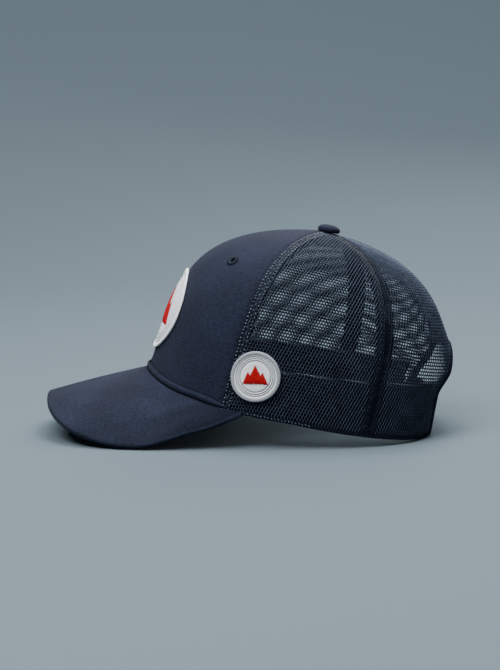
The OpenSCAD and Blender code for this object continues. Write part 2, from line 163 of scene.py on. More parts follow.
def dome(theta, v):
    """Crown frame point: theta from the middle of the front, v from the edge (0) to the button (1)."""
    theta = (theta + 180) % 360 - 180
    w = (1 - cos(theta)) / 2
    m, n, p = mix(FRONT_FLAT, BACK_FLAT, w), mix(FRONT_BEND, BACK_BEND, w), mix(FRONT_PLAN, BACK_PLAN, w)
    s = sin(90 * v)
    rho = np.maximum(0, 1 - s**m) ** (1 / n) * (1 - FRONT_LEAN * (1 - w) * s)
    q = (np.abs(sin(theta)) ** p + np.abs(cos(theta)) ** p) ** (-1 / p)
    z = DOME_H * s + PEAK_H * (1 - rho)
    fade = np.where(z > FLARE_Z, np.exp(-(((z - FLARE_Z) / FLARE_H) ** 2)),
                    ease((z - FLARE_FOOT) / (FLARE_Z - FLARE_FOOT)))
    flare = FLARE * np.exp(-(((180 - np.abs(theta)) / FLARE_ANGLE) ** 2)) * fade
    x, y = HALF_W * q * sin(theta), -HALF_L * q * cos(theta)
    return np.stack([x * rho, y * rho + flare, z + edge_z(theta, x, y) * (1 - z / CROWN_H) ** 2], -1)


def crown(theta, v):
    """The same, carried on in a straight line below the edge."""
    theta, v = np.broadcast_arrays(np.asarray(theta, float), np.asarray(v, float))
    inside = np.clip(v, 0, 1)
    p = dome(theta, inside)
    if (v < 0).any():
        p = p + np.minimum(v, 0)[..., None] * (dome(theta, inside * 0 + 0.01) - dome(theta, inside * 0)) * 100
    return p


def outward(theta, v):
    around = crown(theta + 0.4, v) - crown(theta - 0.4, v)
    upward = crown(theta, np.minimum(np.asarray(v) + 0.004, 1)) - crown(theta, np.asarray(v) - 0.004)
    return unit(np.cross(around, upward))


def place(theta, v, off=0.0):
    """Cap frame point at a distance off the crown's outer face."""
    theta, v, off = np.broadcast_arrays(*(np.asarray(a, float) for a in (theta, v, off)))
    return stand(crown(theta, v) + off[..., None] * outward(theta, v))


def out(theta, v):
    """Outward direction in the cap frame."""
    return stand(outward(theta, v)) - stand(np.zeros(3))


def v_of(z):
    return np.degrees(np.arcsin(np.clip(np.asarray(z, float) / DOME_H, -1, 1))) / 90


def v_at_height(theta, z):
    """The v at which the crown is truly z above its frame, whatever the edge does below it."""
    edge = crown(theta, 0.0)[..., 2]
    level = z
    for _ in range(4):
        level = z - edge * (1 - level / CROWN_H) ** 2
    return v_of(level)


def pole_v(theta):
    """Where a panel ends, under the button."""
    w = (1 - cos(theta)) / 2
    r = POLE_R / (1 - FRONT_LEAN * (1 - w))
    s = (1 - r ** mix(FRONT_BEND, BACK_BEND, w)) ** (1 / mix(FRONT_FLAT, BACK_FLAT, w))
    return np.degrees(np.arcsin(s)) / 90


def arch_at(u):
    """The arch, from its foot (0) over its top (1) to the other foot (2): theta and v."""
    u = np.asarray(u, float)
    side = np.minimum(u, 2 - u)
    z = ARCH_H * np.clip(sin(90 * side), 0, 1) ** 0.8
    a = ARCH_HALF * np.clip(cos(90 * side), 0, 1) ** 0.4 * (1 - (1 - ARCH_FOOT) * (1 - z / ARCH_H) ** 4)
    return np.where(u <= 1, 180 - a, 180 + a), v_of(z)


def across(theta, v, distance):
    """The angle at a distance in mm around the crown from theta."""
    spread = np.linalg.norm(crown(theta + 0.5, v) - crown(theta - 0.5, v), axis=-1)
    return theta + distance / spread


# ---- The visor's surface ----
def visor_at(s, t, off, inset=0.0):
    """A place on the visor: s across from -1 to 1, t from the crown (0) to the free edge (1)."""
    s, t, off, inset = np.broadcast_arrays(*(np.asarray(a, float) for a in (s, t, off, inset)))
    a = place(VISOR_END * s, 0.0, 0.2)
    corner = place(VISOR_END, 0.0)
    turn = 90 * np.minimum(1, np.abs(s) / VISOR_STRAIGHT)
    straight = np.maximum(0, (np.abs(s) - VISOR_STRAIGHT) / (1 - VISOR_STRAIGHT))
    side_y = corner[1] - VISOR_SIDE_L
    reach = VISOR_L + VISOR_FRONT + side_y - inset
    bx = np.sign(s) * (VISOR_HALF - inset) * np.clip(sin(turn), 0, 1) ** (2 / VISOR_BEND)
    by = side_y - reach * np.clip(cos(turn), 0, 1) ** (2 / VISOR_BEND) + straight * (VISOR_SIDE_L - 1)
    x, y = mix(a[..., 0], bx, t), mix(a[..., 1], by, t)
    lean = np.degrees(np.arcsin(x / VISOR_R))
    opening = np.minimum(1, 6 * (1 - np.abs(s)))
    off = off * visor_thin(s)
    z = visor_z(x, y) - VISOR_CURL * t**2 * opening * beside_crown(y) + off * mix(1, cos(lean), t * opening)
    return np.stack([x + off * sin(lean) * t * opening, y, z], -1)


# ---- Meshes ----
def grid_faces(rows, cols, wrap=False):
    """Quads of a lattice whose columns go round to the left and whose rows go up."""
    r, c = np.mgrid[0 : rows - 1, 0 : cols - (0 if wrap else 1)]
    right = (c + 1) % cols
    return np.stack([r * cols + c, r * cols + right, (r + 1) * cols + right, (r + 1) * cols + c], -1).reshape(-1, 4)


def arcs_of(lattice):
    """Distances along each row of a lattice, from its middle column."""
    steps = np.linalg.norm(np.diff(lattice, axis=1), axis=-1)
    x = np.concatenate([np.zeros((len(lattice), 1)), np.cumsum(steps, 1)], 1)
    middle = lattice.shape[1] // 2
    return x - x[:, middle : middle + 1]


def cloth_of(lattice):
    """Distances across (from the middle column) and up (along it), for the weave."""
    x, y = arcs_of(lattice), lengths(lattice[:, lattice.shape[1] // 2])
    return np.stack([x, np.broadcast_to(y[:, None], x.shape), x * 0], -1)


def walls_of(faces, count):
    """Quads that join the border of the outer faces to the same border of a copy, count points further on."""
    a = np.concatenate([f[:, k] for f in faces for k in range(f.shape[1])])
    b = np.concatenate([f[:, (k + 1) % f.shape[1]] for f in faces for k in range(f.shape[1])])
    border = ~np.isin(a * (count + 1) + b, b * (count + 1) + a)
    a, b = a[border], b[border]
    return np.stack([b, a, a + count, b + count], -1)


def shell(outer, inner, faces, cloth):
    """A closed shell between two copies of a surface."""
    n = len(outer)
    sets = [*faces, *(f[:, ::-1] + n for f in faces), walls_of(faces, n)]
    return np.vstack([outer, inner]), sets, np.vstack([cloth, cloth])


def lattice_shell(outer, inner, keep=None):
    rows, cols = outer.shape[:2]
    faces = grid_faces(rows, cols)
    if keep is not None:
        faces = faces[keep[faces].all(1)]
    return shell(outer.reshape(-1, 3), inner.reshape(-1, 3), [faces], cloth_of(outer).reshape(-1, 3))


def loft(sections, ring=False, cloth=None):
    """A bar through matching closed sections (stations, points, 3), closed with flat ends unless it is a ring."""
    count, n = sections.shape[:2]
    k = np.arange(n)
    s = np.arange(count if ring else count - 1)[:, None]
    a, b = s * n + k, s * n + (k + 1) % n
    c, d = (s + 1) % count * n + (k + 1) % n, (s + 1) % count * n + k
    faces = [np.stack([a, b, c, d], -1).reshape(-1, 4)]
    if not ring:
        faces += [k[::-1][None], (k + (count - 1) * n)[None]]
    if cloth is None:
        x = lengths(sections[:, 0])
        y = lengths(np.vstack([sections[count // 2], sections[count // 2, :1]]))[:-1]
        cloth = np.stack(np.broadcast_arrays(x[:, None], y[None], 0.0), -1)
    return sections.reshape(-1, 3), faces, cloth.reshape(-1, 3)


def threads(centre, up, width, height):
    """Short threads: centre is (count, rings, 3), and up the direction away from the cloth."""
    sides = 6
    count, rings = centre.shape[:2]
    run = unit(np.gradient(centre, axis=1))
    side = unit(np.cross(run, up))
    up = np.cross(side, run)
    t = np.linspace(-1, 1, rings)
    swell = np.sqrt(np.clip(1 - (0.93 * t) ** 4, 0, 1))[None, :, None, None]
    a = 2 * np.pi * np.arange(sides) / sides
    width, height = (np.broadcast_to(np.asarray(d, float), (count,))[:, None, None, None] for d in (width, height))
    ring = (side[:, :, None] * np.cos(a)[:, None] * width + up[:, :, None] * np.sin(a)[:, None] * height) / 2
    points = centre[:, :, None] + ring * swell
    i, j, k = np.meshgrid(np.arange(count), np.arange(rings - 1), np.arange(sides), indexing="ij")

    def at(j, k):
        return (i * rings + j) * sides + k % sides

    quads = np.stack([at(j, k), at(j, k + 1), at(j + 1, k + 1), at(j + 1, k)], -1).reshape(-1, 4)
    start = (np.arange(count) * rings * sides)[:, None]
    first = start + np.arange(sides)[None, ::-1]
    last = start + (rings - 1) * sides + np.arange(sides)[None]
    s = np.cumsum(np.linalg.norm(np.gradient(centre, axis=1), axis=-1), 1)
    cloth = np.stack(np.broadcast_arrays(s[:, :, None], a * 0.5, np.arange(count)[:, None, None] * 1.7), -1)
    return points.reshape(-1, 3), [quads, first, last], cloth.reshape(-1, 3)


def stitches(theta, v, off, **how):
    """A row of stitches along a line on the crown."""
    return stitch_row(place(theta, v, off), out(theta, v), **how)


def stitch_row(path, normal, pitch=2.6, length=1.9, width=0.55, lift=0.32, slant=0.0, uneven=1):
    """Stitches along a path. slant turns each one away from it, in mm at its end."""
    total = lengths(path)[-1]
    count = max(2, int(total / pitch))
    middle = (np.arange(count) + 0.5 + rng.normal(0, 0.04 * (uneven - 1), count)) * total / count
    t = np.linspace(-1, 1, 6)
    s = middle[:, None] + t * length / 2
    centre = along(path, s.ravel()).reshape(count, 6, 3)
    up = unit(np.stack([np.interp(s, lengths(path), normal[:, k]) for k in range(3)], -1))
    side = unit(np.cross(np.gradient(centre, axis=1), up))
    jitter = rng.normal(0, 0.06 * uneven, (count, 1, 1))
    centre = centre + up * (lift * (1 - t**2) - 0.12)[None, :, None] + side * (slant * t[None, :, None] + jitter)
    return threads(centre, up, width * np.maximum(0.4, 1 + rng.normal(0, 0.05 * uneven, count)), width * 0.8)


def mirrored(part):
    points, faces, cloth = part
    return points * [-1, 1, 1], [f[:, ::-1] for f in faces], cloth


def add_object(name, data):
    made = bpy.data.objects.new(name, data)
    bpy.context.scene.collection.objects.link(made)
    return made


def piece(name, parts, finish, slot, body="root", replaces=None, sharp=55):
    """One object from parts of points (mm), face sets and weave coordinates. It replaces the node of its own name."""
    parts = parts if isinstance(parts, list) else [parts]
    starts = np.cumsum([0] + [len(p[0]) for p in parts])
    points = np.vstack([p[0] for p in parts])
    cloth = np.vstack([p[2] for p in parts])
    faces = [f + start for p, start in zip(parts, starts) for f in p[1] if len(f)]
    used, flat = np.unique(np.concatenate([f.ravel() for f in faces]), return_inverse=True)
    sizes = np.concatenate([np.full(len(f), f.shape[1]) for f in faces])
    mesh = bpy.data.meshes.new(name)
    mesh.vertices.add(len(used))
    mesh.vertices.foreach_set("co", (points[used] * MM).astype(np.float32).ravel())
    mesh.loops.add(len(flat))
    mesh.loops.foreach_set("vertex_index", flat.astype(np.int32))
    mesh.polygons.add(len(sizes))
    mesh.polygons.foreach_set("loop_start", np.concatenate([[0], np.cumsum(sizes)[:-1]]).astype(np.int32))
    mesh.update(calc_edges=True)
    mesh.validate()
    mesh.polygons.foreach_set("use_smooth", np.ones(len(mesh.polygons), bool))
    mesh.set_sharp_from_angle(angle=math.radians(sharp))
    mesh.attributes.new("cloth", "FLOAT_VECTOR", "POINT").data.foreach_set(
        "vector", cloth[used].astype(np.float32).ravel())
    mesh.materials.append(finish)
    made = add_object(name, mesh)
    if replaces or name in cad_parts:
        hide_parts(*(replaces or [name]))
    if body:
        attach(made, body)
    return made


def pair(name, parts, finish, slot):
    """A piece on the left and its mirror image on the right."""
    parts = parts if isinstance(parts, list) else [parts]
    piece(name + "_left", parts, finish, slot)
    piece(name + "_right", [mirrored(part) for part in parts], finish, slot)


# ---- Materials ----
WAVE = 0.31416      # a wave texture's period at scale 1
BLUE_GLOSS = (0.5, 0.68, 1, 1)


class Finish:
    """A procedural material, with a short call for each kind of node."""

    def __init__(self, name, **shader):
        self.material = bpy.data.materials.new(name)
        self.material.use_nodes = True
        self.tree = self.material.node_tree
        self.principled = self.tree.nodes["Principled BSDF"]
        for key, value in shader.items():
            self.principled.inputs[key.replace("_", " ")].default_value = value

    def node(self, kind, inputs, **settings):
        made = self.tree.nodes.new("ShaderNode" + kind)
        for key, value in settings.items():
            setattr(made, key, value)
        for key, value in inputs.items():
            if isinstance(value, bpy.types.NodeSocket):
                self.tree.links.new(value, made.inputs[key])
            else:
                made.inputs[key].default_value = value
        return made

    def cloth(self):
        return self.node("Attribute", {}, attribute_name="cloth").outputs["Vector"]

    def weave_z(self):
        return self.node("SeparateXYZ", {0: self.cloth()}).outputs["Z"]

    def weave(self, angle=0.0, stretch=(1, 1, 1)):
        turn = (0, 0, math.radians(angle))
        return self.node("Mapping", {"Vector": self.cloth(), "Rotation": turn, "Scale": stretch}).outputs[0]

    def wave(self, pitch, distortion, detail, detail_scale=1.0, angle=0.0, **settings):
        return self.node("TexWave", {"Vector": self.weave(angle), "Scale": WAVE / pitch, "Distortion": distortion,
                                     "Detail": detail, "Detail Scale": detail_scale}, **settings).outputs["Fac"]

    def noise(self, scale, detail, angle=0.0, stretch=(1, 1, 1), rough=0.5):
        return self.node("TexNoise", {"Vector": self.weave(angle, stretch), "Scale": scale, "Detail": detail,
                                      "Roughness": rough}).outputs["Fac"]

    def maths(self, operation, a, b):
        return self.node("Math", {0: a, 1: b}, operation=operation).outputs[0]

    def add(self, a, b):
        return self.maths("ADD", a, b)

    def times(self, a, b):
        return self.maths("MULTIPLY", a, b)

    def blend(self, factor, dark, light):
        """Between two colours, of which the dark one may be another node's output."""
        dark = dark if isinstance(dark, bpy.types.NodeSocket) else (*dark, 1)
        return self.node("Mix", {0: factor, 6: dark, 7: (*light, 1)}, data_type="RGBA").outputs[2]

    def wire(self, colour, height, strength, depth_mm):
        """Connects the colour and the bump, and gives the material."""
        bump = self.node("Bump", {"Height": height, "Strength": strength, "Distance": depth_mm * MM}).outputs[0]
        self.tree.links.new(colour, self.principled.inputs["Base Color"])
        self.tree.links.new(bump, self.principled.inputs["Normal"])
        return self.material


def twill(name, dark, light, pitch=0.9, angle=58, grain=0.55, contrast=1.0):
    """Diagonal wales over fine yarns, with slubs, a coarser grain and a little fading."""
    f = Finish(name, Roughness=0.85, Sheen_Weight=0.03, Sheen_Roughness=0.5, Specular_IOR_Level=0.2,
               Specular_Tint=(0.75, 0.85, 1, 1))
    wale = f.wave(pitch, 1.2, 2.0, 3.0, angle)
    yarn = f.wave(pitch * 0.55, 1.0, 1.0, 4.0, angle - 35)
    slub = f.noise(0.9, 4.0, angle, (0.35, 1.6, 1), 0.6)
    coarse = f.noise(grain, 2.0, 0, (0.6, 1, 1), 0.7)
    fade = f.noise(0.03, 3.0)
    weave = f.times(wale, f.add(f.times(yarn, 0.5), 0.5))
    tone = 0.5
    for value, weight in ((weave, 0.5), (slub, 1.0), (coarse, 1.5), (fade, 0.9)):
        tone = f.add(tone, f.times(f.maths("SUBTRACT", value, 0.5), weight * contrast))
    return f.wire(f.blend(tone, dark, light), f.add(weave, f.times(f.add(slub, coarse), 0.6)), 0.7, 0.3)


def yarn_net(name, dark, light):
    """Shiny synthetic yarn with painted highlights: the weave's z tells how far a strand stands out, and the outer
    strands are painted lighter, in patches of random strength, as the glints on them.
    """
    f = Finish(name, Roughness=0.58, Specular_IOR_Level=0.2, Specular_Tint=BLUE_GLOSS)
    twist = f.wave(0.32, 3.0, 2.0, 2.0, 38)
    patchy = f.noise(0.09, 2.0)
    tone = f.times(f.add(f.times(twist, 0.3), f.noise(0.7, 4.0)), f.maths("POWER", f.weave_z(), 1.5))
    tone = f.times(tone, f.add(f.times(patchy, 1.6), 0.2))
    return f.wire(f.blend(tone, dark, light), twist, 0.4, 0.1)


def ribbed_tape(name, dark, light, pitch=0.8):
    """Woven tape: ribs across its width, with a fine plain weave."""
    f = Finish(name, Roughness=0.75, Specular_IOR_Level=0.1, Specular_Tint=BLUE_GLOSS)
    rib = f.wave(pitch, 0.5, 1.0, bands_direction="Y")
    fine = f.wave(pitch * 0.6, 0.8, 1.0)
    weave = f.times(rib, f.add(f.times(fine, 0.4), 0.6))
    tone = f.add(f.times(weave, 0.4), f.times(f.noise(0.7, 3.0), 0.6))
    return f.wire(f.blend(tone, dark, light), weave, 0.5, 0.2)


def embroidery(name, dark, light, rough=0.5, sheen=0.05, shine=0.4, groove=None):
    """Lustrous threads laid side by side along the weave's y. With a groove colour, the weave's z tells where."""
    f = Finish(name, Roughness=rough, Sheen_Weight=sheen, Sheen_Roughness=0.35, Specular_IOR_Level=shine)
    thread = f.wave(0.42, 0.7, 2.0, 1.5)
    speck = f.noise(1.0, 3.0, 0, (2.4, 0.5, 1))
    colour = f.blend(f.add(f.times(thread, 0.55), f.times(speck, 0.6)), dark, light)
    if groove:
        colour = f.blend(f.weave_z(), colour, groove)
    return f.wire(colour, thread, 0.6, 0.16)


def plain(name, dark, light, rough, **shader):
    """Moulded or pressed surface with a fine grain and slight marks."""
    f = Finish(name, Roughness=rough, **shader)
    speck = f.noise(0.8, 4.0)
    return f.wire(f.blend(speck, dark, light), speck, 0.4, 0.03)


NAVY_TWILL = twill("navy_twill", (0.0025, 0.004, 0.0111), (0.0144, 0.0185, 0.0404))
VISOR_TWILL = twill("visor_twill", (0.0018, 0.003, 0.0093), (0.0163, 0.0204, 0.0422), pitch=1.3, angle=20,
                    grain=0.95, contrast=2.1)
# The light end of this net colour is painted highlight: yarn_net lays it on the outer strands.
NAVY_NET = yarn_net("navy_net", (0.0004, 0.0007, 0.0021), (0.1259, 0.1556, 0.2296))
DARK_TAPE = ribbed_tape("dark_tape", (0.0018, 0.0024, 0.0055), (0.005, 0.0065, 0.013))
BAND_CLOTH = twill("band_cloth", (0.0025, 0.0032, 0.0075), (0.0065, 0.0085, 0.017), pitch=0.8)
LINER = ribbed_tape("liner", (0.2222, 0.2296, 0.237), (0.3852, 0.3926, 0.4), pitch=1.1)
WHITE_THREAD = embroidery("white_thread", (0.68, 0.71, 0.75), (0.9, 0.92, 0.95), groove=(0.16, 0.17, 0.19))
SILVER_THREAD = embroidery("silver_thread", (0.15, 0.16, 0.18), (0.36, 0.38, 0.41))
RED_THREAD = embroidery("red_thread", (0.26, 0.001, 0.003), (0.5, 0.002, 0.006), rough=0.6, sheen=0.0, shine=0.12)
NAVY_THREAD = embroidery("navy_thread", (0.0033, 0.0056, 0.0122), (0.0126, 0.0178, 0.0341), rough=0.65,
                          sheen=0.0, shine=0.15)
# Light thread. Along the front seam and at the front of the hem it is painted highlight, standing in for the glints on
# the net's folded loops; in the sweatband it is thread.
SEAM_THREAD_AND_GLINT = embroidery("seam_thread_and_glint", (0.0593, 0.0741, 0.1185), (0.1778, 0.2148, 0.2963), rough=0.45)
PIPING = embroidery("piping", (0.1926, 0.2444, 0.2815), (0.3704, 0.4296, 0.4741))
PLASTIC = plain("strap_plastic", (0.0045, 0.006, 0.0125), (0.0075, 0.01, 0.02), 0.42)
BOARD = plain("board_plastic", (0.6, 0.6, 0.58), (0.72, 0.72, 0.7), 0.6)
METAL = plain("rivet_metal", (0.52, 0.53, 0.55), (0.66, 0.67, 0.69), 0.32, Metallic=1.0)


# ---- Nets ----
NET_X, NET_Y = 2.1, 2.2         # distance between holes in a row, and between rows
HOLE_X, HOLE_Y_HALF = 0.65, 0.75
NET_LEAN = 0.2                  # how far each strand leans over its height
NET_SLANT = -0.17               # how far a column of holes leans over its height
NET_T = 0.85
MM_A_DEGREE = 1.6               # around the back of the crown
CELL = np.array([(0, 4), (-1, 3), (-2, 2), (-2, 0), (-2, -2), (-1, -3), (0, -4), (1, -3), (2, -2), (2, 0), (2, 2),
                 (1, 3)])


class Panel:
    """Carries distances in mm across and up a panel to angles on the crown, and keeps them inside the panel."""

    def __init__(self, theta_0, theta_1, arch=False):
        self.arch = arch
        self.v = np.linspace(0, 1, 241)
        self.theta = np.linspace(theta_0, theta_1, 121)
        points = crown(self.theta[None], np.minimum(self.v, 0.995)[:, None])
        self.arc = arcs_of(points)
        self.up = lengths(points[:, 60])
        edge_theta, edge_v = arch_at(np.linspace(0, 1, 200))
        x, y = (180 - edge_theta) * MM_A_DEGREE, DOME_H * sin(90 * edge_v)
        self.arch_angle, self.arch_radius = np.arctan2(y, x), np.hypot(x, y)

    def surface(self, across_mm, up_mm):
        """theta, v and whether each point had to be moved onto the panel's border."""
        u, w = across_mm.ravel(), up_mm.ravel()
        v = np.interp(w, self.up, self.v)
        moved = (w < 0) | (w > self.up[-1])
        theta = np.empty_like(u)
        levels, which = np.unique(np.round(w, 4), return_inverse=True)
        row = np.interp(np.interp(levels, self.up, self.v), self.v, np.arange(241))
        low = np.minimum(row.astype(int), 239)
        arcs = mix(self.arc[low], self.arc[low + 1], (row - low)[:, None])
        for k, arc in enumerate(arcs):
            at = which == k
            theta[at] = np.interp(u[at], arc, self.theta)
            moved[at] |= (u[at] < arc[0]) | (u[at] > arc[-1])
        top = pole_v(theta)
        moved |= v > top
        v = np.minimum(v, top)
        if self.arch:
            x, y = (180 - theta) * MM_A_DEGREE, DOME_H * sin(90 * v)
            angle, radius = np.arctan2(y, x), np.hypot(x, y)
            edge = np.interp(angle, self.arch_angle, self.arch_radius)
            inside = radius < edge
            k = np.where(inside, edge / np.maximum(radius, 1e-6), 1)
            theta = np.where(inside, 180 - x * k / MM_A_DEGREE, theta)
            v = np.where(inside, v_of(y * k), v)
            moved |= inside
        shape = across_mm.shape
        return theta.reshape(shape), v.reshape(shape), moved.reshape(shape)


def on_weave(x, y):
    """Steps of the net's grid to mm across and up the panel, with the columns slanted."""
    up = y * NET_Y / 6
    return x * NET_X / 4 + NET_SLANT * up, up


def net(theta_0, theta_1, arch=False, close_to=()):
    """An open net of rounded strands between two seams. Its holes are small beside the seams named in close_to."""
    panel = Panel(theta_0, theta_1, arch)
    wide = np.abs(panel.arc).max() + abs(NET_SLANT) * panel.up[-1]
    columns = int(wide / NET_X) + 2
    rows = int(panel.up[-1] / NET_Y) + 1
    i, j = np.meshgrid(np.arange(-columns, columns + 1), np.arange(rows))
    gx, gy = (4 * i + 2 * (j % 2)).ravel(), (6 * j + 3).ravel()
    _, _, outside = panel.surface(*on_weave(gx, gy))
    gx, gy = gx[~outside], gy[~outside]
    keys = np.stack([gx[:, None] + CELL[:, 0], gy[:, None] + CELL[:, 1]], -1).reshape(-1, 2)
    knots, index = np.unique(keys, axis=0, return_inverse=True)
    index = index.reshape(-1, 12)
    level = knots[:, 1] % 6
    # raised sets how far each knot stands out, and also the painted highlight that yarn_net puts on the outer strands
    # through the weave's z. Below, it is cut down on solid border cells and beside the seams, which makes the strands
    # there stand out less and paints them darker.
    raised = np.select([level == 3, level == 0], [1.0, 0.0], 0.7)
    lean = NET_LEAN * np.where(level == 0, 0, level - 3) / 2
    knot_x, knot_y = on_weave(knots[:, 0], knots[:, 1])
    theta, v, moved = panel.surface(knot_x + lean, knot_y)
    solid = moved[index].any(1)
    raised = np.where(np.isin(np.arange(len(knots)), index[solid]), 0.3 * raised, raised)
    cx, cy = on_weave(gx, gy)
    size = np.ones(len(gx))
    centre_theta, centre_v, _ = panel.surface(cx, cy)
    for seam, reach, small in close_to:
        spread = np.linalg.norm(crown(centre_theta + 0.5, centre_v) - crown(centre_theta - 0.5, centre_v), axis=-1)
        near = np.abs(centre_theta - seam) * spread < reach
        size = np.where(near, small, size)
        raised = np.where(np.isin(np.arange(len(knots)), index[near]), 0.55 * raised, raised)
    size = size * (1 + rng.normal(0, 0.04, len(gx)))
    angle = np.arctan2(CELL[:, 1] * NET_Y / 6, CELL[:, 0] * NET_X / 4)
    hole_lean = NET_LEAN + NET_SLANT * HOLE_Y_HALF
    rx = cx[:, None] + size[:, None] * (HOLE_X * np.cos(angle) + hole_lean * np.sin(angle))
    ry = cy[:, None] + size[:, None] * HOLE_Y_HALF * np.sin(angle)
    ring_theta, ring_v, _ = panel.surface(np.where(solid[:, None], cx[:, None], rx),
                                          np.where(solid[:, None], cy[:, None], ry))
    high = 0.3 * raised - 0.1 + rng.normal(0, 0.04, len(knots))
    outer, inner = place(theta, v, high), place(theta, v, high - NET_T)
    holes = place(ring_theta, ring_v, -NET_T / 2).reshape(-1, 3)
    middle_out, middle_in = place(centre_theta, centre_v, -0.35), place(centre_theta, centre_v, 0.1 - NET_T)
    n, cells = len(knots), len(gx)
    ring = 2 * n + 12 * np.arange(cells)[:, None] + np.arange(12)
    top = 2 * n + 12 * cells + np.arange(cells)
    nxt = np.roll(index, -1, 1)
    ring_nxt = np.roll(ring, -1, 1)
    is_open = ~solid
    faces_out = np.stack([index, nxt, ring_nxt, ring], -1)[is_open].reshape(-1, 4)
    faces_in = np.stack([nxt + n, index + n, ring, ring_nxt], -1)[is_open].reshape(-1, 4)
    two = np.arange(0, 12, 2)
    fan = [index[:, two], index[:, two + 1], index[:, (two + 2) % 12]]
    fan_out = np.stack([*fan, top[:, None] + 0 * two], -1)[solid].reshape(-1, 4)
    fan_in = np.stack([*(f + n for f in fan[::-1]), top[:, None] + cells + 0 * two], -1)[solid].reshape(-1, 4)
    points = np.vstack([outer, inner, holes, middle_out, middle_in])

    def upright(x, y, z=0):
        return np.stack([x - NET_SLANT * y, y, z + 0 * x], -1).reshape(-1, 3)

    knot, cell = upright(knot_x, knot_y, raised), upright(cx, cy)
    cloth = np.vstack([knot, knot, upright(rx, ry), cell, cell])
    return points, [faces_out, faces_in, fan_out, fan_in, walls_of([index], n)], cloth


# ---- Pieces of the crown ----
def clear_of_eyelets(lattice, off, radius):
    """Which points of a lattice are further than radius from both eyelets."""
    centre = place(EYELET_AT, v_of(EYELET_Z), off)
    centres = np.array([centre, centre * [-1, 1, 1]])
    return (np.linalg.norm(lattice.reshape(-1, 1, 3) - centres, axis=-1) > radius).all(1)


def front_panel():
    theta = np.linspace(-FRONT_SEAM + 0.1, FRONT_SEAM - 0.1, 181)[None]
    v = pole_v(theta) * np.linspace(0, 1, 151)[:, None]
    pucker = 0.1 * np.exp(-((FRONT_SEAM - np.abs(theta)) / 4)) * np.sin(v * 220)
    roll = -0.45 * np.exp(-((FRONT_SEAM - 0.1 - np.abs(theta)) / 0.35))
    outer, inner = place(theta, v, pucker + roll), place(theta, v, pucker - TWILL_T)
    panel = lattice_shell(outer, inner, clear_of_eyelets(outer, 0.0, 1.6))
    piece("front_panel", panel, NAVY_TWILL, "navy_twill")


def front_liner():
    theta = np.linspace(-FRONT_SEAM + 1, FRONT_SEAM - 1, 121)[None]
    v = pole_v(theta) * np.linspace(0, 1, 101)[:, None]
    outer, inner = place(theta, v, -TWILL_T - 0.3), place(theta, v, -2 * TWILL_T - 0.3)
    liner = lattice_shell(outer, inner, clear_of_eyelets(outer, -1.4, 1.9))
    piece("front_liner", liner, LINER, "stiff_liner", replaces=["front_buckram"])


def nets():
    side = net(FRONT_SEAM + 0.15, SIDE_SEAM - 0.1, close_to=[(FRONT_SEAM, 5, 0.5), (SIDE_SEAM, 4.5, 0.55)])
    back = net(SIDE_SEAM + 0.1, 180 - 0.1, arch=True, close_to=[(SIDE_SEAM, 4.5, 0.55), (180, 4.5, 0.55)])
    pair("side_mesh", side, NAVY_NET, "navy_mesh")
    pair("back_mesh", back, NAVY_NET, "navy_mesh")


def seam_tape(theta_mid, v_0, off):
    """A tape of one width inside a seam, with its long edges rounded."""
    v = np.linspace(v_0, float(pole_v(theta_mid)) - 0.05, 90)[:, None]
    x = np.array([-6.5, -6.3, -5.6, -3, 0, 3, 5.6, 6.3, 6.5])
    drop = np.array([0.3, 0.08, 0, 0, 0, 0, 0, 0.08, 0.3])
    theta = theta_mid + np.clip(across(theta_mid, v, x) - theta_mid, -28, 28)
    return lattice_shell(place(theta, v, off - drop), place(theta, v, off - 0.65 + drop))


def tapes():
    foot = v_of(BAND_H - 12)
    pair("front_seam_tape", seam_tape(FRONT_SEAM, foot, -2.7), DARK_TAPE, "seam_tape")
    pair("side_seam_tape", seam_tape(SIDE_SEAM, foot, -1.75), DARK_TAPE, "seam_tape")
    piece("back_seam_tape", seam_tape(180, v_of(ARCH_H + 4), -1.75), DARK_TAPE, "seam_tape")


def seam_line(theta_mid, distance, v_0):
    """theta and v of a line beside a seam."""
    v = np.linspace(v_0, float(pole_v(theta_mid)) - 0.02, 120)
    return across(theta_mid, v, distance), v


def seam_stitching():
    """Small uneven stitches: bright ones along the front seam, which are painted highlight standing in for the glints
    on the net's folded loops, and faint ones along the others.
    """
    bright, faint = [], []
    for distance, pitch, width in ((0.9, 2.4, 0.6), (3.0, 3.9, 0.38), (5.2, 2.7, 0.5)):
        theta, v = seam_line(FRONT_SEAM, distance, 0.01)
        bright.append(stitches(theta, v, 0.15, pitch=pitch, length=1.0, width=width, slant=0.3, lift=0.42, uneven=3))
    theta, v = seam_line(FRONT_SEAM, -2.2, 0.01)
    front = stitches(theta, v, 0.05, pitch=2.4, length=1.8, width=0.42)
    for seam, distance, foot in ((SIDE_SEAM, -2.6, 0.02), (SIDE_SEAM, 2.6, 0.02), (180, -2.6, float(v_of(ARCH_H + 3)))):
        theta, v = seam_line(seam, distance, foot)
        faint.append(stitches(theta, v, 0.15, length=1.2, width=0.45))
    pair("seam_stitches", bright, SEAM_THREAD_AND_GLINT, "navy_mesh")
    pair("mesh_stitches", faint, NAVY_THREAD, "navy_mesh")
    piece("front_stitches", [front, mirrored(front)], NAVY_THREAD, "navy_twill")


def loft_on_crown(theta, v, profile):
    """A bar along a line on the crown. profile is points of distance to the line's right and height, in mm."""
    path, normal = place(theta, v), out(theta, v)
    run = unit(np.gradient(path, axis=0))
    side = unit(np.cross(run, normal))
    p = np.array(profile)
    return loft(path[:, None] + p[None, :, :1] * side[:, None] + p[None, :, 1:] * normal[:, None])


